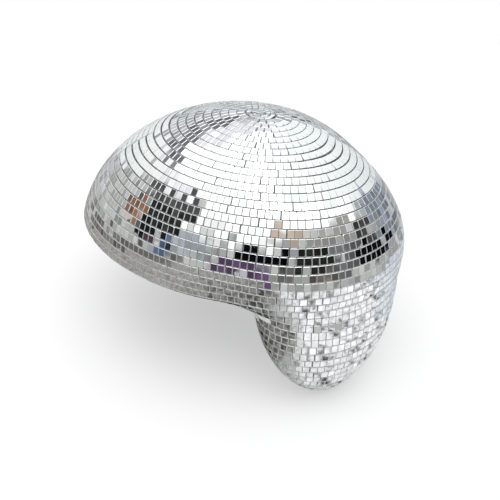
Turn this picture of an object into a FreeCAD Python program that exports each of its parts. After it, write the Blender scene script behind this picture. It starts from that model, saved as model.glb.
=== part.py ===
import FreeCAD, Part

import math
import os
import random

# Half-melted mirror ball that sits on a shelf: a low mirrored dome rests on the shelf and a heavy
# drip sags over its front edge. Millimetres, +Z up. The origin is on the resting face, under the
# middle of the dome. The shelf edge runs along X, and the drip hangs on its -Y side.

# ---- driving dimensions ----
domeHalfWidth = 100.0        # along X
domeHalfBack = 120.0         # towards the wall
domeHalfFront = 127.0        # towards the room
domeWidestZ = 12.0           # height of the widest line above the shelf
domeCrownHeight = 95.0       # crown above the widest line
domeLipDrop = 30.0           # depth that the under-curl would have if it closed
crownShift = (2.0, -36.0)    # the crown slumps forward of the middle
backRoundness = 1.74         # profile exponents: 2 is an ellipse, less is more pointed
frontRoundness = 1.84
sideRoundness = -0.22
backFullness = 0.3
lipRoundness = 1.43

dripCentre = (4.5, -99.0)
dripTipShift = (-15.0, -17.0)
dripHalfWidth = 60.0
dripHalfDepth = 44.0
dripShoulderZ = 13.5         # where the drip is fullest
dripUpperReach = 51.0        # how far its upper end runs into the dome
dripTipZ = -78.5
dripTaper = 2.45
dripSquash = 1.53
meltRadius = 17.0            # blend between dome and drip
meltSoftening = 18.0         # how much wider the blend is at the crown
shelfEdgeY = -76.0           # the drip's flat back lies against the shelf edge

tileWidth = 4.62             # along the row
tileHeight = 5.25
tileThick = 1.2
tileGap = 0.16               # between tiles of one strip
leastGap = 0.1               # where a row draws together, its tiles are cut to keep this
stripGap = 0.45              # extra gap where one strip of tiles ends
rowPitch = 5.72              # from row to row along the front of the dome
rowGap = 0.32                # least gap between rows
tileTilt = math.radians(1.1) # spread of each tile's lean, from laying by hand
glueThick = 0.35
coreInset = tileThick + glueThick

boardThick = 2.5
feltThick = 1.5
boardInset = 9.0             # board edge inside the outline of the resting face
edgeMargin = 2.0             # board edge behind the shelf edge
backPlateWidth = 56.0
backPlateHeight = 19.0
backPlateX = -1.0
backPlateZ = -12.5
backPlateCorner = 4.0
dowelRadius = 4.0
dowelHalfSpacing = 18.0
dowelX = -2.0
dowelY = -106.0
dowelTopZ = 32.0
dowelFootZ = -52.0
neckJoinZ = -24.0            # joint between the two drip blocks

columnAngle = math.radians(-116.0)   # rows are evenly spaced down this side of the dome
backAngle = math.radians(90.0)       # and down this side of the sheets laid on its back
backStart = math.radians(42.0)       # the back sheets run from here
backEnd = math.radians(126.0)        # to here
backPitch = 6.1                      # their row pitch
backJoinZ = 88.0                     # above this the rows run right round
dripAngle = math.radians(-75.0)      # drip rows are evenly spaced down this side
crownPatch = 9.0             # least radius of the patch of broken tile at the crown
tipPatch = 7.5               # and at the drip's tip
outlinePoints = 40
shardSize = 3.4
shardTilt = math.radians(2.6)        # spread of the broken pieces' lean
shardCut = 0.3               # how far their cuts wander, as a share of one piece
shardsFirst, shardsMore = 3, 4       # pieces in the middle ring, and how many more in each next
shardSpace = 0.42            # gap between the broken pieces
shardGap = 0.12              # gap between the rings, as a share of one ring
tileFootZ = 0.05             # the first rows start this far from the shelf plane
backClear = 1.2              # and the drip's rows stop this far short of its flat back
domeCoreLevels = (0, 1.5, 3, 5, 7.5, 10, 13, 17, 23, 29, 35, 41, 47, 53, 58, 63, 68, 73,
                  78, 82, 86, 90, 93, 96, 98.5, 100.7, 102.5, 103.8, 104.7)
neckCoreLevels = (-0.001, -3, -6, -9, -12, -15, -18, -21, neckJoinZ)
tipCoreLevels = (neckJoinZ, -29, -34, -40, -46, -52, -58, -63, -67, -71, -74, -76.4)


# ---- outer form: a slumped dome melted into a drip ----
def domeField(x, y, z, inset):
    """Negative inside the dome, zero on its skin."""
    rise = z - domeWidestZ
    crown = domeCrownHeight - inset
    lean = min(max(rise / crown, 0.0), 1.0)
    dx = (x - crownShift[0] * lean) / (domeHalfWidth - inset)
    dy = y - crownShift[1] * lean
    dy /= (domeHalfFront if dy < 0 else domeHalfBack) - inset
    spread = max(math.hypot(dx, dy), 1e-6)
    if rise > 0:
        facing = 0.5 - 0.5 * dy / spread
        roundness = backRoundness + (frontRoundness - backRoundness) * facing
        roundness += sideRoundness * dx / spread + backFullness * max(dy / spread, 0.0) ** 3
        level = (rise / crown) ** roundness
    else:
        level = (-rise / (domeLipDrop - inset)) ** lipRoundness
    return (math.sqrt(spread ** 2 + level) - 1) * 60.0


def dripField(x, y, z, inset):
    """Negative inside the drip, zero on its skin."""
    fall = dripShoulderZ - z
    depth = dripShoulderZ - dripTipZ
    along = min(max(fall / depth, 0.0), 1.0)
    dx = (x - dripCentre[0] - dripTipShift[0] * along) / (dripHalfWidth - inset)
    dy = (y - dripCentre[1] - dripTipShift[1] * along) / (dripHalfDepth - inset)
    if fall < 0:
        level = (-fall / (dripUpperReach - inset)) ** 2
    else:
        level = (fall / (depth - inset)) ** dripTaper
    spread = max(math.hypot(dx, dy), 1e-6)
    return (math.sqrt(spread ** dripSquash + level) - 1) * (dripHalfDepth - inset)


def meltField(x, y, z, inset=0.0):
    dome = domeField(x, y, z, inset)
    drip = dripField(x, y, z, inset)
    rise = min(max((z - domeWidestZ) / domeCrownHeight, 0.0), 1.0)
    reach = meltRadius + meltSoftening * rise
    blend = max(reach - abs(dome - drip), 0.0) / reach
    return min(dome, drip) - blend * blend * reach / 4


def axisAt(z):
    """The point inside the body that a level's outline is drawn around."""
    if z >= 0:
        lean = min(max((z - domeWidestZ) / domeCrownHeight, 0.0), 1.0)
        return crownShift[0] * lean, crownShift[1] * lean
    along = (dripShoulderZ - z) / (dripShoulderZ - dripTipZ)
    return dripCentre[0] + dripTipShift[0] * along, dripCentre[1] + dripTipShift[1] * along


def skinPoint(angle, z, inset=0.0):
    """Where a level ray leaves the body."""
    cx, cy = axisAt(z)
    c, s = math.cos(angle), math.sin(angle)
    near, far = 0.0, 260.0
    for _ in range(34):
        r = (near + far) / 2
        if meltField(cx + r * c, cy + r * s, z, inset) < 0:
            near = r
        else:
            far = r
    return FreeCAD.Vector(cx + near * c, cy + near * s, z)


def skinNormal(p):
    d = 0.05
    n = FreeCAD.Vector(
        meltField(p.x + d, p.y, p.z) - meltField(p.x - d, p.y, p.z),
        meltField(p.x, p.y + d, p.z) - meltField(p.x, p.y - d, p.z),
        meltField(p.x, p.y, p.z + d) - meltField(p.x, p.y, p.z - d))
    return n.normalize()


def evenLevels(angle, zFrom, zTo, pitch):
    """Heights that are one pitch apart along the skin, from zFrom until zTo is near."""
    levels = [zFrom]
    z, travelled, last = zFrom, 0.0, skinPoint(angle, zFrom)
    step = 0.05 if zTo > zFrom else -0.05
    while (zTo - z) * step > 0:
        z += step
        p = skinPoint(angle, z)
        travelled += (p - last).Length
        last = p
        if travelled >= pitch:
            levels.append(z)
            travelled -= pitch
    return levels


# ---- cores, boards and pads ----
def smoothWire(points):
    """Closed curve through the points, with the same parameters at every level."""
    marks = [k / len(points) for k in range(len(points) + 1)]
    curve = Part.BSplineCurve()
    curve.interpolate(Points=points, PeriodicFlag=True, Parameters=marks)
    return Part.Wire(curve.toShape())


def levelOutline(z, inset=0.0):
    return [skinPoint(2 * math.pi * k / outlinePoints, z, inset) for k in range(outlinePoints)]


def roundCore(levels):
    """Smooth solid through the core's closed outlines at these heights."""
    return Part.makeLoft([smoothWire(levelOutline(z, coreInset)) for z in levels], True, False)


def crossingAngle(z, inset, backY, rightSide):
    """Direction in which the drip's outline meets the plane y = backY."""
    front = math.radians(-90 if rightSide else 270)
    back = math.radians(90)
    for _ in range(34):
        middle = (front + back) / 2
        if skinPoint(middle, z, inset).y < backY:
            front = middle
        else:
            back = middle
    return front


def frontArc(z, inset, backY):
    """Start and end directions of the outline's part that lies in front of the plane."""
    left = crossingAngle(z, inset, backY, False)
    return left, crossingAngle(z, inset, backY, True) + 2 * math.pi


def flatBackCore(levels):
    """Smooth solid through the outlines in front of the shelf edge, closed by a flat back."""
    wires = []
    for z in levels:
        start, end = frontArc(z, coreInset, shelfEdgeY)
        turn = (end - start) / outlinePoints
        points = [skinPoint(start + turn * k, z, coreInset) for k in range(outlinePoints + 1)]
        points[0].y = points[-1].y = shelfEdgeY
        marks = [k / outlinePoints for k in range(outlinePoints + 1)]
        curve = Part.BSplineCurve()
        curve.interpolate(Points=points, Parameters=marks)
        chord = Part.LineSegment(points[-1], points[0])
        wires.append(Part.Wire([curve.toShape(), chord.toShape()]))
    return Part.makeLoft(wires, True, False)


def behindShelfEdge(y):
    return Part.makeBox(600, 600, 600, FreeCAD.Vector(-300, y, -300))


def restingSlab(margin, lowZ, thick):
    """Flat sheet as wide as the resting face less a margin, cut square at the shelf edge."""
    points = []
    for p in levelOutline(0.0):
        n = skinNormal(p)
        points.append(p - FreeCAD.Vector(n.x, n.y, 0).normalize() * margin)
    sheet = Part.Face(smoothWire(points)).extrude(FreeCAD.Vector(0, 0, thick))
    sheet.translate(FreeCAD.Vector(0, 0, lowZ))
    return sheet.common(behindShelfEdge(shelfEdgeY + edgeMargin))


def backSlab(margin, frontY, thick):
    """Flat sheet with round corners for the drip's back."""
    w, h = backPlateWidth - 2 * margin, backPlateHeight - 2 * margin
    corner = FreeCAD.Vector(backPlateX - w / 2, frontY, backPlateZ - h / 2)
    sheet = Part.makeBox(w, thick, h, corner)
    uprights = [e for e in sheet.Edges if abs(e.Length - thick) < 1e-6]
    return sheet.makeFillet(backPlateCorner, uprights)


def dowels():
    """Two round rods that pin the three core blocks together."""
    length = dowelTopZ - dowelFootZ
    rods = []
    for side in (-1, 1):
        foot = FreeCAD.Vector(dowelX + side * dowelHalfSpacing, dowelY, dowelFootZ)
        rods.append(Part.makeCylinder(dowelRadius, length, foot))
    return Part.makeCompound(rods)


def outlineLength(path):
    """Running length along a list of points."""
    total = [0.0]
    for a, b in zip(path, path[1:]):
        total.append(total[-1] + (b - a).Length)
    return total


def slantAt(angle, lowZ, highZ):
    """Half of how far a row's end, at one bearing, leans sideways over the row's height."""
    normal = skinNormal(skinPoint(angle, (lowZ + highZ) / 2))
    side = FreeCAD.Vector(-normal.y, normal.x, 0).normalize()
    return abs((skinPoint(angle, highZ) - skinPoint(angle, lowZ)).dot(side)) / 2


def centresAlong(startAngle, endAngle, lowZ, highZ, rng):
    """Directions of the tile centres along one row, laid as short strips with a gap between."""
    z = (lowZ + highZ) / 2
    steps = max(24, int(abs(endAngle - startAngle) * 20))
    angles = [startAngle + (endAngle - startAngle) * k / steps for k in range(steps + 1)]
    travelled = outlineLength([skinPoint(a, z) for a in angles])
    lead = stripGap / 2 + slantAt(startAngle, lowZ, highZ)
    last = travelled[-1] - stripGap / 2 - slantAt(endAngle, lowZ, highZ)
    places, x, left = [], lead, rng.randint(2, 9)
    while x + tileWidth <= last:
        places.append(x + tileWidth / 2)
        left -= 1
        x += tileWidth + tileGap
        if left == 0:
            x += stripGap
            left = rng.randint(5, 9)
    spare = last - (places[-1] + tileWidth / 2)
    first = places[0]
    stretch = 1 + spare / max(places[-1] - first, 1.0)
    found, k = [], 0
    for place in (first + (p - first) * stretch for p in places):
        while k < steps - 1 and travelled[k + 1] < place:
            k += 1
        part = (place - travelled[k]) / (travelled[k + 1] - travelled[k])
        found.append(angles[k] + (angles[k + 1] - angles[k]) * part)
    return found


def cutTile(centre, side, up, normal, lowWidth, highWidth, height):
    """A flat glass tile whose outer face is centred on the skin."""
    corners = []
    for across, rise in ((-lowWidth, -height), (lowWidth, -height), (highWidth, height),
                         (-highWidth, height)):
        corners.append(centre + side * (across / 2) + up * (rise / 2))
    return Part.Face(Part.makePolygon(corners + corners[:1])).extrude(normal * -tileThick)


def leaned(side, up, normal, spread, rng):
    """The same directions after a small lean, as a hand-laid tile has."""
    a, b = rng.gauss(0, spread), rng.gauss(0, spread)
    n = (normal + side * a + up * b).normalize()
    s = (side - n * side.dot(n)).normalize()
    return s, n.cross(s), n


def tileRow(lowZ, highZ, startAngle, endAngle, rng):
    """Tiles between two levels. Where the levels spread to two tiles' height, they fit two."""
    middleZ = (lowZ + highZ) / 2
    tiles = []
    for angle in centresAlong(startAngle, endAngle, lowZ, highZ, rng):
        low, high = skinPoint(angle, lowZ), skinPoint(angle, highZ)
        centre = skinPoint(angle, middleZ)
        normal = skinNormal(centre)
        side = FreeCAD.Vector(-normal.y, normal.x, 0).normalize()
        spread = (high - low).dot(normal.cross(side))
        count = max(1, int(spread / (tileHeight + rowGap)))
        for k in range(count):
            ends = [lowZ + (highZ - lowZ) * (k + share) / count for share in (0.0, 0.5, 1.0)]
            centre = skinPoint(angle, ends[1])
            normal = skinNormal(centre)
            side = FreeCAD.Vector(-normal.y, normal.x, 0).normalize()
            up = normal.cross(side)
            bulge = max(0.0, skinTurn(centre, up)) * tileThick * rowPitch
            height = min(tileHeight, spread / count - rowGap - bulge)
            room = roomAlong(angle, middleZ, ends)
            closing = abs(skinTurn(centre, side)) * tileThick * (tileWidth + tileGap)
            widths = [min(tileWidth, r - leastGap - closing) for r in room]
            side, up, normal = leaned(side, up, normal, tileTilt, rng)
            tiles.append(cutTile(centre, side, up, normal, widths[0], widths[2], height))
    return tiles


def roomAlong(angle, middleZ, heights):
    """Room for one tile along the row at each height, where the row's middle has the full room."""
    turn = 0.01
    here = (skinPoint(angle + turn, middleZ) - skinPoint(angle - turn, middleZ)).Length
    found = []
    for z in heights:
        there = (skinPoint(angle + turn, z) - skinPoint(angle - turn, z)).Length
        found.append((tileWidth + tileGap) * there / here)
    return found


def skinTurn(centre, way):
    """How fast the skin turns along a direction, in radians a millimetre; negative where hollow."""
    return (skinNormal(centre + way) - skinNormal(centre - way)).dot(way) / 2


def skinHeight(x, y, inside, outside):
    """Height of the skin over a point, between a height inside the body and one outside."""
    for _ in range(34):
        z = (inside + outside) / 2
        if meltField(x, y, z) < 0:
            inside = z
        else:
            outside = z
    return inside


def brokenPatch(levelZ, inside, outside, rng):
    """Irregular pieces of broken tile that close the small round inside the last row."""
    pieces = []
    radius = levelRadius(levelZ)
    rings = max(2, round(radius / shardSize))
    for ring in range(rings):
        inner = (ring + shardGap) / rings
        outer = (ring + 1) / rings - shardSpace / radius
        count = shardsFirst + shardsMore * ring
        turn = 2 * math.pi / count
        cuts = sorted((k + rng.uniform(-shardCut, shardCut)) * turn for k in range(count))
        cuts.append(cuts[0] + 2 * math.pi)
        for a, b in zip(cuts, cuts[1:]):
            pieces.append(brokenPiece(levelZ, inside, outside, (inner, outer), (a, b), rng))
    return pieces


def brokenPiece(levelZ, inside, outside, shares, cuts, rng):
    """One four-sided shard, flat, laid on the skin at its own middle. Its shares are of the way
    from the axis to the level's outline."""
    axis = FreeCAD.Vector(*axisAt(levelZ), levelZ)
    middle = (skinPoint(sum(cuts) / 2, levelZ) - axis) * (sum(shares) / 2) + axis
    centre = FreeCAD.Vector(middle.x, middle.y, skinHeight(middle.x, middle.y, inside, outside))
    normal = skinNormal(centre)
    side = FreeCAD.Vector(0, normal.z, -normal.y).normalize()
    normal = leaned(side, normal.cross(side), normal, shardTilt, rng)[2]
    corners = []
    for share, a, turn in ((shares[0], cuts[0], 1), (shares[1], cuts[0], 1),
                           (shares[1], cuts[1], -1), (shares[0], cuts[1], -1)):
        reach = (skinPoint(a, levelZ) - axis).Length
        a += turn * min(shardSpace / 2 / (share * reach), shardCut * (cuts[1] - cuts[0]))
        share -= rng.uniform(0.0, shardSpace / 2) / reach
        p = (skinPoint(a, levelZ) - axis) * share + axis
        z = centre.z - ((p.x - centre.x) * normal.x + (p.y - centre.y) * normal.y) / normal.z
        corners.append(FreeCAD.Vector(p.x, p.y, z))
    outline = Part.makePolygon(corners + corners[:1])
    return Part.Face(outline).extrude(normal * -tileThick)


# ---- rows of tiles ----
def domeLevels():
    levels = evenLevels(columnAngle, tileFootZ, domeWidestZ + domeCrownHeight, rowPitch)
    return [z for z in levels if levelRadius(z) > crownPatch]


def dripLevels():
    levels = evenLevels(dripAngle, -tileFootZ, dripTipZ, rowPitch)
    return [z for z in levels if levelRadius(z) > tipPatch]


def domeRows(levels, rng):
    """Rows from the shelf up. Below the join, sheets with closer rows cover the longer back."""
    join = max(k for k, z in enumerate(levels) if z < backJoinZ)
    backLevels = fittedLevels(backAngle, tileFootZ, levels[join])
    rows = []
    for k, (low, high) in enumerate(zip(levels, levels[1:])):
        start = backEnd if k < join else math.radians(90)
        end = backStart if k < join else math.radians(90)
        rows.append(tileRow(low, high, start, end + 2 * math.pi, rng))
    for k, (low, high) in enumerate(zip(backLevels, backLevels[1:])):
        home = min(k, join - 1)
        rows[home] += tileRow(low, high, backStart, backEnd, rng)
    return rows


def fittedLevels(angle, footZ, topZ):
    """Row levels that divide the skin evenly between two heights."""
    length = outlineLength([skinPoint(angle, footZ + (topZ - footZ) * k / 400) for k in range(401)])
    count = round(length[-1] / backPitch)
    levels = evenLevels(angle, footZ, topZ, length[-1] / count - 0.001)
    return levels[:count] + [topZ]


def levelRadius(z):
    """Mean radius of a level outline."""
    cx, cy = axisAt(z)
    points = [skinPoint(math.pi * k / 4, z) for k in range(8)]
    return sum(math.hypot(p.x - cx, p.y - cy) for p in points) / len(points)


def dripRows(levels, rng):
    """Rows from the shelf plane down; the upper ones stop at the flat back."""
    rows = []
    for high, low in zip(levels, levels[1:]):
        middleZ = (high + low) / 2
        behind = skinPoint(math.radians(90), middleZ).y
        if behind > shelfEdgeY - backClear:
            start, end = frontArc(middleZ, 0.0, shelfEdgeY - backClear)
        else:
            start, end = math.radians(90), math.radians(450)
        rows.append(tileRow(low, high, start, end, rng))
    return rows


# ---- the pieces ----
def save(name, shape):
    shape.exportStep("parts/" + name + ".step")
    print(name, len(shape.Solids), round(shape.Volume, 1), shape.isValid())


def main():
    os.makedirs("parts", exist_ok=True)
    rng = random.Random(11)
    rods = dowels()
    baseStack = restingSlab(boardInset, 0.0, feltThick + boardThick)
    backStack = backSlab(0.0, shelfEdgeY - feltThick - boardThick, feltThick + boardThick)

    domeCore = roundCore(domeCoreLevels).cut(baseStack).cut(rods)
    save("dome_core", domeCore)
    save("drip_neck_core", flatBackCore(neckCoreLevels).cut(backStack).cut(rods))
    tipCore = roundCore(tipCoreLevels).cut(behindShelfEdge(shelfEdgeY)).cut(rods)
    save("drip_tip_core", tipCore)
    save("core_dowels", rods)
    save("base_board", restingSlab(boardInset, feltThick, boardThick))
    save("base_felt", restingSlab(boardInset, 0.0, feltThick))
    boardFront = shelfEdgeY - feltThick - boardThick
    save("back_board", backSlab(0.0, boardFront, boardThick))
    save("back_felt", backSlab(0.0, shelfEdgeY - feltThick, feltThick))

    onDome, onDrip = domeLevels(), dripLevels()
    for k, tiles in enumerate(domeRows(onDome, rng)):
        save("dome_tile_row_%02d" % (k + 1), Part.makeCompound(tiles))
    for k, tiles in enumerate(dripRows(onDrip, rng)):
        save("drip_tile_row_%02d" % (k + 1), Part.makeCompound(tiles))
    crownZ = domeWidestZ + domeCrownHeight
    crown = brokenPatch(onDome[-1], crownZ - 20, crownZ + 5, rng)
    save("crown_tile_pieces", Part.makeCompound(crown))
    tip = brokenPatch(onDrip[-1], dripTipZ + 15, dripTipZ - 5, rng)
    save("tip_tile_pieces", Part.makeCompound(tip))


main()
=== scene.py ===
import math
import random

import bmesh
import bpy
import numpy as np
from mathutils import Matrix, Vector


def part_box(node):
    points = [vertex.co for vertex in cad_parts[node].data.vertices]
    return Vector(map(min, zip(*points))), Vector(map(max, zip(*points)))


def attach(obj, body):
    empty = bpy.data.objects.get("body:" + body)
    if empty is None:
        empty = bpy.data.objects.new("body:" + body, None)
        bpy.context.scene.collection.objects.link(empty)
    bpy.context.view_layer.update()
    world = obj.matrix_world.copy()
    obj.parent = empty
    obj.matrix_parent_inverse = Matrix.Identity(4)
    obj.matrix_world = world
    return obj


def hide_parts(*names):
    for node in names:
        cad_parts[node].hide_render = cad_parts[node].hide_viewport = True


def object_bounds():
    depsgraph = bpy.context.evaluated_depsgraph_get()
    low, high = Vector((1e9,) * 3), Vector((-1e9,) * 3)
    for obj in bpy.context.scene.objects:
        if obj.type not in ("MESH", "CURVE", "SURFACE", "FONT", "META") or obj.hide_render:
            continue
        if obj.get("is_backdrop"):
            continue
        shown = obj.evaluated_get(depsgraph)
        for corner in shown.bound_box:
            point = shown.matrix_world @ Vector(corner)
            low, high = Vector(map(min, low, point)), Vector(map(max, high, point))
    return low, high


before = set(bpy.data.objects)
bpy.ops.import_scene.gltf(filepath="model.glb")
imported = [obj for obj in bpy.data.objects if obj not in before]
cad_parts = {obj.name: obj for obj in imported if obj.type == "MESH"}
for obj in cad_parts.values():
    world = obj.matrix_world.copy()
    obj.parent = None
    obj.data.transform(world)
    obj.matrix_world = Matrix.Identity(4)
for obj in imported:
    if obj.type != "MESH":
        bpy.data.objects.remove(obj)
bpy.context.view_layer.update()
print("frame loaded with", len(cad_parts), "nodes")


# shader helpers
class Wire:
    # one output of a shader node; arithmetic on it adds Math nodes
    def __init__(self, recipe, socket):
        self.recipe = recipe
        self.socket = socket

    def maths(self, operation, *values):
        return self.recipe.node("ShaderNodeMath", {"operation": operation}, dict(enumerate(values)))

    def also(self, name):
        return Wire(self.recipe, self.socket.node.outputs[name])

    def __add__(self, other):
        return self.maths("ADD", self, other)

    def __sub__(self, other):
        return self.maths("SUBTRACT", self, other)

    def __rsub__(self, other):
        return self.maths("SUBTRACT", other, self)

    def __mul__(self, other):
        return self.maths("MULTIPLY", self, other)

    __radd__ = __add__
    __rmul__ = __mul__


class Recipe:
    # the node tree of one material, or of the room
    def __init__(self, tree):
        self.tree = tree
        tree.nodes.clear()

    def node(self, kind, settings=None, sockets=None, output=0):
        made = self.tree.nodes.new(kind)
        for name, value in (settings or {}).items():
            if name == "stops":
                self.setStops(made.color_ramp, value)
            else:
                setattr(made, name, value)
        for name, value in (sockets or {}).items():
            if isinstance(value, Wire):
                self.tree.links.new(value.socket, made.inputs[name])
            else:
                made.inputs[name].default_value = value
        return Wire(self, made.outputs[output]) if made.outputs else made

    def setStops(self, ramp, stops):
        while len(ramp.elements) < len(stops):
            ramp.elements.new(1.0)
        for element, (place, tone) in zip(ramp.elements, stops):
            element.position = place
            element.color = (tone, tone, tone, 1) if isinstance(tone, float) else (*tone, 1)

    def ramp(self, value, stops):
        return self.node("ShaderNodeValToRGB", {"stops": stops}, {"Fac": value}, "Color")

    def step(self, value, low, high):
        return self.node("ShaderNodeMapRange", {"interpolation_type": "SMOOTHSTEP"},
                         {"Value": value, "From Min": low, "From Max": high})

    def mix(self, factor, first, second, blend="MIX"):
        first, second = [v if isinstance(v, Wire) else (*v, 1) for v in (first, second)]
        return self.node("ShaderNodeMix", {"data_type": "RGBA", "blend_type": blend},
                         {0: factor, 6: first, 7: second}, 2)

    def noise(self, where, scale, detail=2.0, roughness=0.5, output="Fac"):
        return self.node("ShaderNodeTexNoise", {},
                         {"Vector": where, "Scale": scale, "Detail": detail, "Roughness": roughness},
                         output)

    def own(self):
        return self.node("ShaderNodeTexCoord", output="Object")

    def stretched(self, where, x, y, z):
        return self.node("ShaderNodeVectorMath", {"operation": "MULTIPLY"}, {0: where, 1: (x, y, z)})

    def bump(self, height, strength, distance):
        return self.node("ShaderNodeBump", {},
                         {"Height": height, "Strength": strength, "Distance": distance}, "Normal")


def newMaterial(name, build, **constants):
    # build returns the sockets that change over the surface; constants are set on the shader itself
    material = bpy.data.materials.new(name)
    material.use_nodes = True
    recipe = Recipe(material.node_tree)
    sockets = {key.replace("_", " "): value for key, value in constants.items()}
    sockets.update(build(recipe))
    shader = recipe.node("ShaderNodeBsdfPrincipled", {}, sockets)
    recipe.node("ShaderNodeOutputMaterial", {}, {"Surface": shader})
    return material


# mirror tiles
glass = {
    "bevel": 0.00026,       # ground edge round the front face
    "bevelDrop": 0.00017,
    "nick": 0.00016,        # corner of a clean cut
    "chip": 0.0007,         # corner of a chipped one
    "chipShare": 0.06,
    "mostCut": 0.3,         # of a side, that a corner cut may take
    "leastFace": 0.4,       # of a small piece's width, that its bevel leaves flat
    "domeSpineLift": 0.03,  # the spines stop this far inside the cores
    "dripSpineLift": 0.035,
    "toneSpread": 0.05,     # how much duller the dullest silver is
    "seed": 5,
}


def mirrorFace(r):
    own = r.own()
    tone = r.node("ShaderNodeAttribute", {"attribute_name": "tileTone"}, {}, "Fac")
    smear = r.step(r.noise(own, 90, 3, 0.6), 0.5, 0.72)
    specks = r.step(r.noise(own, 900, 2, 0.5), 0.7, 0.76)
    shine = 1 - tone * glass["toneSpread"] - smear * 0.03
    colour = r.mix(shine, (0.55, 0.57, 0.6), (0.95, 0.96, 0.965))
    ripple = r.noise(own, 160, 1, 0.4)
    return {"Base Color": r.mix(specks * 0.25, colour, (0.3, 0.31, 0.33)),
            "Roughness": smear * 0.05 + specks * 0.2 + 0.012,
            "Normal": r.bump(ripple, 0.2, 0.00006)}


def groundEdge(r):
    own = r.own()
    grit = r.noise(own, 1800, 2, 0.6)
    return {"Base Color": r.mix(grit, (0.8, 0.83, 0.83), (0.97, 0.98, 0.98)),
            "Roughness": grit * 0.25 + 0.26,
            "Normal": r.bump(grit, 0.35, 0.00004)}


def glassSide(r):
    own = r.own()
    scored = r.noise(r.stretched(own, 1, 1, 4), 1500, 3, 0.6)
    return {"Base Color": r.mix(scored, (0.66, 0.71, 0.7), (0.9, 0.93, 0.92)),
            "Roughness": scored * 0.25 + 0.15,
            "Normal": r.bump(scored, 0.5, 0.00005)}


def backPaint(r):
    own = r.own()
    flow = r.noise(own, 700, 2, 0.5)
    return {"Base Color": r.mix(flow, (0.2, 0.21, 0.22), (0.33, 0.34, 0.35)),
            "Roughness": flow * 0.2 + 0.4}


def unit(v):
    return v / np.linalg.norm(v)


def spineOf(lowCore, highCore, lift):
    # the line inside a row's body that its tiles face away from
    low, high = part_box(lowCore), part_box(highCore)
    foot = (low[0] + low[1]) / 2
    foot.z = low[0].z + lift
    head = (high[0] + high[1]) / 2
    head.z = high[1].z - lift
    return np.array(foot), np.array(head)


def awayFromSpine(point, spine):
    foot, head = spine
    share = np.clip((point[2] - foot[2]) / max(head[2] - foot[2], 1e-6), 0, 1)
    return unit(point - (foot + (head - foot) * share))


def tileSolids(node):
    # the corners and the face directions of each closed solid in a node
    solids = bmesh.new()
    solids.from_mesh(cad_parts[node].data)
    bmesh.ops.remove_doubles(solids, verts=solids.verts, dist=1e-6)
    solids.normal_update()
    seen, found = set(), []
    for start in solids.verts:
        if start in seen:
            continue
        seen.add(start)
        group = [start]
        for vert in group:
            for edge in vert.link_edges:
                other = edge.other_vert(vert)
                if other not in seen:
                    seen.add(other)
                    group.append(other)
        faces = {face for vert in group for face in vert.link_faces}
        found.append((np.array([v.co for v in group]), np.array([f.normal for f in faces])))
    solids.free()
    return found


def frontOutline(corners, normals, spine):
    # the four front corners in order, the outward direction and the thickness
    centre = corners.mean(0)
    outward = normals[np.argmax(normals @ awayFromSpine(centre, spine))]
    height = (corners - centre) @ outward
    order = np.argsort(height)
    front = corners[order[-4:]]
    thickness = height[order[-4:]].mean() - height[order[:4]].mean()
    side = unit(front[1] - front[0])
    across = np.cross(outward, side)
    spokes = front - front.mean(0)
    turn = np.argsort(np.arctan2(spokes @ across, spokes @ side))
    return front[turn], outward, thickness


def cutCorners(front, rng):
    # eight points: each corner is nicked, and now and then chipped
    points = []
    for k in range(4):
        toLast, toNext = front[k - 1] - front[k], front[(k + 1) % 4] - front[k]
        cut = glass["chip"] if rng.random() < glass["chipShare"] else glass["nick"]
        for way in (toLast, toNext):
            points.append(front[k] + unit(way) * min(cut, glass["mostCut"] * np.linalg.norm(way)))
    return np.array(points)


def insetOutline(outline, outward, inset):
    # the outline drawn in by the same amount on all four sides
    centre = outline.mean(0)
    side = unit(outline[2] - outline[1])
    across = np.cross(outward, side)
    spokes = outline - centre
    moved = np.tile(centre, (len(outline), 1))
    for way in (side, across):
        reach = spokes @ way
        half = np.abs(reach).max()
        moved += np.outer(reach * max(glass["leastFace"], 1 - inset / half), way)
    return moved


def buildRow(name, node, spine, finishes, rng):
    # three rings of points to a tile: round its flat face, below its ground edge, and at its back
    points, faces, kinds, tones = [], [], [], []
    for corners, normals in tileSolids(node):
        front, outward, thickness = frontOutline(corners, normals, spine)
        outline = cutCorners(front, rng)
        n = len(outline)
        first = len(points)
        for ring, drop in ((insetOutline(outline, outward, glass["bevel"]), 0.0),
                           (outline, glass["bevelDrop"]),
                           (outline, thickness)):
            points.extend(ring - outward * drop)
        tones.extend([rng.random() ** 2] * (3 * n))
        faces.append([first + k for k in range(n)])
        kinds.append(0)
        for ring in (0, 1):
            for k in range(n):
                a, b = first + ring * n + k, first + ring * n + (k + 1) % n
                faces.append([a, a + n, b + n, b])
                kinds.append(1 + ring)
        faces.append([first + 2 * n + k for k in reversed(range(n))])
        kinds.append(3)
    mesh = bpy.data.meshes.new(name)
    mesh.from_pydata(points, [], faces)
    for material in finishes:
        mesh.materials.append(material)
    mesh.polygons.foreach_set("material_index", kinds)
    tone = mesh.attributes.new("tileTone", "FLOAT", "POINT")
    tone.data.foreach_set("value", tones)
    mesh.update()
    row = bpy.data.objects.new(name, mesh)
    bpy.context.scene.collection.objects.link(row)
    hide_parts(node)
    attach(row, "root")


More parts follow.
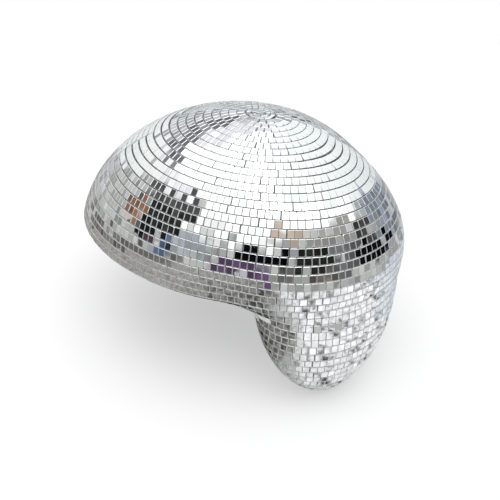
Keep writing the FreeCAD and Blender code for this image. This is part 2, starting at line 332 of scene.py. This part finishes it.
def buildTiles():
    rng = random.Random(glass["seed"])
    finishes = [newMaterial("mirrorFace", mirrorFace, Metallic=1.0),
                newMaterial("groundEdge", groundEdge, Metallic=0.92),
                newMaterial("glassSide", glassSide, Specular_IOR_Level=0.6),
                newMaterial("backPaint", backPaint)]
    domeSpine = spineOf("dome_core", "dome_core", glass["domeSpineLift"])
    dripSpine = spineOf("drip_tip_core", "drip_neck_core", glass["dripSpineLift"])
    for node in sorted(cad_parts):
        if "tile" not in node:
            continue
        words = node.replace("tile_", "").split("_")
        name = words[0] + "".join(w.capitalize() for w in words[1:])
        spine = domeSpine if words[0] in ("dome", "crown") else dripSpine
        buildRow(name, node, spine, finishes, rng)
    print("tile rows built")


buildTiles()


# blocks, boards and rods behind the tiles
def paintedFoam(r):
    own = r.own()
    brushed = r.noise(r.stretched(own, 1, 1, 3), 60, 4, 0.6)
    glue = r.step(r.noise(own, 140, 3, 0.55), 0.52, 0.66)
    cells = r.node("ShaderNodeTexVoronoi", {}, {"Vector": own, "Scale": 700}, "Distance")
    paint = r.mix(brushed, (0.1, 0.1, 0.105), (0.24, 0.24, 0.25))
    return {"Base Color": r.mix(glue * 0.6, paint, (0.62, 0.62, 0.6)),
            "Roughness": 0.75 - glue * 0.4,
            "Normal": r.bump(cells * 0.6 + glue * 0.5, 0.6, 0.0003)}


def fibreBoard(r):
    own = r.own()
    fibres = r.noise(r.stretched(own, 6, 1, 1), 260, 5, 0.65)
    mottle = r.noise(own, 45, 3, 0.6)
    tone = r.mix(mottle, (0.26, 0.17, 0.1), (0.46, 0.33, 0.21))
    return {"Base Color": r.mix(fibres * 0.45, tone, (0.62, 0.48, 0.33)),
            "Roughness": fibres * 0.25 + 0.55,
            "Normal": r.bump(fibres, 0.35, 0.0002)}


def dowelWood(r):
    own = r.own()
    grain = r.noise(r.stretched(own, 9, 9, 0.7), 120, 4, 0.6)
    return {"Base Color": r.ramp(grain, [(0.3, (0.42, 0.27, 0.15)), (0.55, (0.68, 0.5, 0.31)),
                                         (0.8, (0.8, 0.64, 0.43))]),
            "Roughness": grain * 0.2 + 0.5,
            "Normal": r.bump(grain, 0.3, 0.00015)}


def finishHiddenPieces():
    foam, board, wood = (newMaterial(n, f) for n, f in (("paintedFoam", paintedFoam),
                                                       ("fibreBoard", fibreBoard), ("dowelWood", dowelWood)))
    choice = {"core": foam, "board": board, "dowels": wood}
    for name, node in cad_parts.items():
        material = choice.get(name.split("_")[-1])
        if material:
            node.data.materials.clear()
            node.data.materials.append(material)
    print("foam, boards and rods finished")


finishHiddenPieces()


# felt pads
felt = {
    "spacing": 0.0022,      # between the points of the cut edge
    "edgeRound": 0.0005,
    "ringStep": 0.004,
    "edgeSteps": 3,
    "dimple": 0.00012,      # depth of the hollows in the pressed surface
    "seed": 3,
}


def pressedFelt(r):
    own = r.own()
    fibres = r.noise(own, 1300, 5, 0.75)
    tufts = r.noise(own, 260, 3, 0.6)
    worn = r.noise(own, 30, 2, 0.5)
    dark = r.mix(tufts, (0.012, 0.012, 0.014), (0.05, 0.05, 0.055))
    return {"Base Color": r.mix(r.step(fibres, 0.45, 0.8) * (0.35 + worn * 0.3), dark, (0.17, 0.17, 0.18)),
            "Roughness": 0.98 - fibres * 0.15,
            "Normal": r.bump(fibres * 0.5 + tufts, 0.8, 0.0003)}


def padOutline(node, side, across, outward):
    # evenly spaced points round the pad's outer face, and the depth of that face and of the glued one
    points = np.array([v.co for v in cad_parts[node].data.vertices])
    depth = points @ outward
    face = np.unique(points[depth > depth.max() - 1e-5].round(6), axis=0)
    flat = np.stack([face @ side, face @ across], 1)
    middle = (flat.min(0) + flat.max(0)) / 2
    spokes = flat - middle
    ring = flat[np.argsort(np.arctan2(spokes[:, 1], spokes[:, 0]))]
    closed = np.vstack([ring, ring[:1]])
    travelled = np.concatenate([[0], np.cumsum(np.linalg.norm(np.diff(closed, axis=0), axis=1))])
    count = int(travelled[-1] / felt["spacing"])
    places = np.linspace(0, travelled[-1], count, endpoint=False)
    even = np.stack([np.interp(places, travelled, closed[:, k]) for k in (0, 1)], 1)
    return even, middle, depth.max(), depth.min()


def buildFelt(name, node, side, across, outward, material):
    side, across, outward = (np.array(v, float) for v in (side, across, outward))
    rng = random.Random(felt["seed"])
    ring, middle, face, glued = padOutline(node, side, across, outward)
    n = len(ring)
    reach = np.abs(ring - middle).max()
    rounded = felt["edgeRound"]
    steps = [(0.0, glued), (0.0, face - rounded)]
    for k in range(felt["edgeSteps"]):
        turn = math.pi / 2 * (k + 1) / felt["edgeSteps"]
        steps.append((rounded * (1 - math.cos(turn)), face - rounded * (1 - math.sin(turn))))
    inset = felt["ringStep"]
    while inset < reach - felt["ringStep"]:
        steps.append((inset, face))
        inset += felt["ringStep"]
    points, faces = [], []
    for inset, depth in steps:
        for p in ring:
            flat = middle + (p - middle) * (1 - inset / reach)
            dip = rng.random() * felt["dimple"] if inset > rounded else 0.0
            points.append(side * flat[0] + across * flat[1] + outward * (depth - dip))
    for row in range(len(steps) - 1):
        for k in range(n):
            a, b = row * n + k, row * n + (k + 1) % n
            faces.append([a, b, b + n, a + n])
    last = (len(steps) - 1) * n
    faces.append([last + k for k in range(n)])
    faces.append([k for k in reversed(range(n))])
    mesh = bpy.data.meshes.new(name)
    mesh.from_pydata(points, [], faces)
    mesh.polygons.foreach_set("use_smooth", [len(f) == 4 for f in faces])
    mesh.materials.append(material)
    mesh.update()
    pad = bpy.data.objects.new(name, mesh)
    bpy.context.scene.collection.objects.link(pad)
    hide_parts(node)
    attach(pad, "root")
    after = np.roll(ring, -1, axis=0)
    area = abs(np.sum(ring[:, 0] * after[:, 1] - ring[:, 1] * after[:, 0])) / 2
    print(name, "cut from", np.ptp(ring, axis=0).round(4), "m, area", round(area, 5))


feltFinish = newMaterial("pressedFelt", pressedFelt, Sheen_Weight=0.4, Sheen_Roughness=0.6)
buildFelt("baseFeltPad", "base_felt", (0, 1, 0), (1, 0, 0), (0, 0, -1), feltFinish)
buildFelt("backFeltPad", "back_felt", (0, 0, 1), (1, 0, 0), (0, 1, 0), feltFinish)
print("felt pads built")


# room, table and light
room = {
    "white": 1.45,           # brightness of the ceiling and the tall window
    "paper": 0.96,           # what the camera sees behind everything
    "edge": 0.8,             # softness of the things' edges, in degrees
    "wander": 5.0,           # how far the edges wander from straight
    "wanderScale": 6,
    "clutterScale": 13,      # low down, smaller patches shade what is there or stand out bright
    "clutterShade": 0.55,
    "clutterBright": (0.91, 0.93),
    "clutterFade": (24, 40), # rise over which the clutter ends
    # things round the room: bearing from and to, rise from and to, colour as it looks;
    # later ones stand in front
    "things": [
        (-180, 180, -90, 90, (0.78, 0.78, 0.77)),
        (-180, -118, 26, 90, (0.96, 0.96, 0.98)),
        (-118, 180, 38, 90, (1, 1, 1)),
        (-106, -57, 9, 45, (1, 1, 1)),
        (28, 48, 24, 45, (1, 1, 1)),
        (48, 97, -14, 52, (0.6, 0.63, 0.69)),
        (60, 97, 26, 42, (0.74, 0.77, 0.82)),
        (97, 180, -14, 35, (0.84, 0.85, 0.86)),
        (97, 180, 35, 52, (0.93, 0.93, 0.95)),
        (142, 180, 28, 39, (0.46, 0.46, 0.48)),
        (-180, -161, 29, 39, (0.46, 0.46, 0.48)),
        (115, 127, 7, 12, (0.52, 0.53, 0.55)),
        (116, 121, 28, 35, (0.56, 0.57, 0.6)),
        (-57, -36, 24, 38, (0.8, 0.74, 0.68)),
        (-50, -40, 14, 24, (0.66, 0.67, 0.7)),
        (-20, 28, 16, 40, (0.66, 0.65, 0.64)),
        (-152, -108, 8, 32, (0.36, 0.37, 0.36)),
        (-135, -106, 5, 25, (0.22, 0.23, 0.22)),
        (-128, -113, 22, 38, (0.34, 0.34, 0.35)),
        (-150, -137, -2, 17, (0.62, 0.45, 0.36)),
        (-141, -137, 5, 11, (1, 1, 1)),
        (-137, -104, -5, 9, (0.14, 0.15, 0.16)),
        (-130, -121, -7, -1, (0.38, 0.3, 0.33)),
        (-117, -109, -11, 1, (0.38, 0.45, 0.58)),
        (-108, -88, -9, 11, (0.74, 0.77, 0.8)),
        (-90, -82, -7, 0, (0.46, 0.56, 0.53)),
        (-79, -48, 0, 15, (0.08, 0.08, 0.09)),
        (-84, -66, -25, -1, (0.42, 0.33, 0.47)),
        (-66, -57, -14, -6, (0.85, 0.85, 0.83)),
        (-57, -40, -17, 2, (0.5, 0.48, 0.48)),
        (-41, -3, -2, 20, (0.2, 0.2, 0.19)),
        (-30, -2, -14, -2, (0.43, 0.4, 0.38)),
        (-3, 28, -14, 17, (0.46, 0.46, 0.47)),
        (2, 14, 4, 14, (0.7, 0.7, 0.71)),
        (28, 47, 2, 27, (0.3, 0.3, 0.29)),
        (19, 62, -14, 3, (0.1, 0.1, 0.11)),
        (-180, -100, -90, -12, (0.5, 0.48, 0.46)),
    ],
}


def asLight(colour):
    return tuple(c ** 2.2 for c in colour)


def lightTheRoom():
    world = bpy.data.worlds.new("room")
    bpy.context.scene.world = world
    world.use_nodes = True
    r = Recipe(world.node_tree)
    way = r.node("ShaderNodeTexCoord", output="Generated")
    east = r.node("ShaderNodeSeparateXYZ", {}, {"Vector": way}, "X")
    wander = r.noise(way, room["wanderScale"], 2, 0.5, "Color")
    wanderX = r.node("ShaderNodeSeparateXYZ", {}, {"Vector": wander}, "X")
    toDegrees = 180 / math.pi
    bearing = east.maths("ARCTAN2", east, 0 - east.also("Y")) * toDegrees
    bearing += (wanderX - 0.5) * (2 * room["wander"])
    rise = east.maths("ARCSINE", east.also("Z")) * toDegrees
    rise += (wanderX.also("Y") - 0.5) * (2 * room["wander"])
    seen = (0.5, 0.5, 0.5)
    soft = room["edge"]
    for left, right, low, high, colour in room["things"]:
        tint = asLight(colour) if min(colour) < 1 else (room["white"],) * 3
        inside = None
        for value, start, end in ((bearing, left, right), (rise, low, high)):
            if end - start >= 180:
                continue
            off = (value - (start + end) / 2).maths("ABSOLUTE", value - (start + end) / 2)
            half = (end - start) / 2
            within = 1 - r.step(off, half - soft, half + soft)
            inside = within if inside is None else inside * within
        seen = r.mix(1.0 if inside is None else inside, seen, tint)
    clutter = r.node("ShaderNodeTexVoronoi", {"feature": "F1"},
                     {"Vector": way, "Scale": room["clutterScale"]}, "Color")
    amount = r.node("ShaderNodeSeparateXYZ", {}, {"Vector": clutter}, "X")
    below = 1 - r.step(rise, *room["clutterFade"])
    bright = r.step(amount.also("Y"), *room["clutterBright"])
    seen = r.mix(bright * below * 0.7, seen, (0.75, 0.76, 0.78))
    shade = 1 - amount * below * room["clutterShade"]
    grey = r.node("ShaderNodeCombineXYZ", {}, {"X": shade, "Y": shade, "Z": shade})
    seen = r.mix(1.0, seen, grey, "MULTIPLY")
    toCamera = r.node("ShaderNodeLightPath", output="Is Camera Ray")
    paper = room["paper"]
    sky = r.mix(toCamera, seen, (paper, paper, paper))
    light = r.node("ShaderNodeBackground", {}, {"Color": sky, "Strength": 1.0})
    r.node("ShaderNodeOutputWorld", {}, {"Surface": light})


table = {
    "drop": 0.0004,          # the table top is this far below the drip's tip
    "nearRadius": 0.34,      # the tiles see the table top this far out
    "farRadius": 9.0,
    "corners": 96,
    "base": (0.54, 0.54, 0.54),
    "lift": 0.42,            # light given off by the table, so that shadows stay faint
    "gloomWay": (-0.6, 0.8), # painted shade that the tiles find on the table on this side: under the dome and behind
    "gloomFrom": -0.09,
    "gloomTo": -0.01,
    "faintFrom": 0.0,        # and the painted shade a little lighter again further out
    "faintTo": 0.13,
    "blueFrom": 0.07,        # towards +X the tiles find the table a cool grey
    "blueTo": 0.16,
}


def paleTable(r):
    # plain and pale to the eye; mirrors find it with painted caustic light spots, painted shade on one side
    # and a cool grey on another
    own = r.own()
    causticNoise = r.noise(own, 48, 2, 0.6)
    fine = r.noise(own, 190, 2, 0.6)
    # painted caustic light spots, seen only in the tiles
    paintedCaustics = r.ramp(causticNoise * 0.6 + fine * 0.4,
                    [(0.35, 0.05), (0.42, 0.26), (0.47, 0.5), (0.56, 0.6), (0.64, 0.76)])
    x = r.node("ShaderNodeSeparateXYZ", {}, {"Vector": own}, "X")
    away = x * table["gloomWay"][0] + x.also("Y") * table["gloomWay"][1]
    # painted shade: the tiles find the table darker under the dome and behind, easing off further out
    paintedShade = r.step(away, table["gloomFrom"], table["gloomTo"])
    faint = r.step(away, table["faintFrom"], table["faintTo"])
    blue = r.step(x, table["blueFrom"], table["blueTo"])
    # colour of the painted shade, mottled
    paintedShadeTone = r.mix(faint, (0.028, 0.025, 0.021), (0.15, 0.14, 0.125))
    paintedShadeTone = r.mix(r.step(fine, 0.42, 0.6) * 0.4, paintedShadeTone, (0.27, 0.26, 0.24))
    inTiles = r.node("ShaderNodeLightPath", output="Is Glossy Ray")
    shown = r.mix(blue * 0.75, paintedCaustics, (0.38, 0.41, 0.46))
    shown = r.mix(paintedShade * 0.9, shown, paintedShadeTone)
    return {"Base Color": r.mix(inTiles, table["base"], shown),
            "Emission Color": r.mix(inTiles, (1, 1, 1), shown)}


def buildTable(lowest):
    material = newMaterial("paleTable", paleTable, Roughness=0.9, Specular_IOR_Level=0.1,
                           Emission_Strength=table["lift"])
    rings = {"tableNear": (0.0, table["nearRadius"]), "tableFar": (table["nearRadius"], table["farRadius"])}
    for name, (inner, outer) in rings.items():
        n = table["corners"]
        turns = [2 * math.pi * k / n for k in range(n)]
        z = lowest - table["drop"]
        points = [(outer * math.cos(t), outer * math.sin(t), z) for t in turns]
        faces = [list(range(n))]
        if inner:
            points += [(inner * math.cos(t), inner * math.sin(t), z) for t in turns]
            faces = [[k, (k + 1) % n, n + (k + 1) % n, n + k] for k in range(n)]
        mesh = bpy.data.meshes.new(name)
        mesh.from_pydata(points, [], faces)
        mesh.materials.append(material)
        ring = bpy.data.objects.new(name, mesh)
        bpy.context.scene.collection.objects.link(ring)
        ring.visible_glossy = not inner
        ring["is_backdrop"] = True


softbox = {"size": 1.3, "height": 1.5, "offset": (-0.35, -0.5), "power": 7.0}


def hangSoftbox():
    lamp = bpy.data.lights.new("softbox", "AREA")
    lamp.size = softbox["size"]
    lamp.energy = softbox["power"]
    box = bpy.data.objects.new("softbox", lamp)
    bpy.context.scene.collection.objects.link(box)
    box.location = (*softbox["offset"], softbox["height"])
    aim = -box.location
    box.rotation_mode = "QUATERNION"
    box.rotation_quaternion = aim.to_track_quat("-Z", "Y")


lightTheRoom()
buildTable(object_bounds()[0].z)
hangSoftbox()
bpy.context.scene.view_settings.view_transform = "Standard"
print("room and table ready")


# camera
camera = {
    "target": (0.0, 0.0, 0.020),
    "bearing": -44.4,        # degrees from -Y towards +X
    "rise": 28.85,
    "distance": 0.5655,
    "lens": 52.4,
    "shift": (0.0543, -0.0883),
}


def placeCamera():
    lens = bpy.data.cameras.new("camera")
    lens.lens = camera["lens"]
    lens.shift_x, lens.shift_y = camera["shift"]
    lens.clip_start = 0.01
    holder = bpy.data.objects.new("camera", lens)
    bpy.context.scene.collection.objects.link(holder)
    a, e = math.radians(camera["bearing"]), math.radians(camera["rise"])
    back = (math.sin(a) * math.cos(e), -math.cos(a) * math.cos(e), math.sin(e))
    holder.location = [t + b * camera["distance"] for t, b in zip(camera["target"], back)]
    holder.rotation_euler = (math.pi / 2 - e, 0, a)
    bpy.context.scene.camera = holder


placeCamera()
print("camera placed")
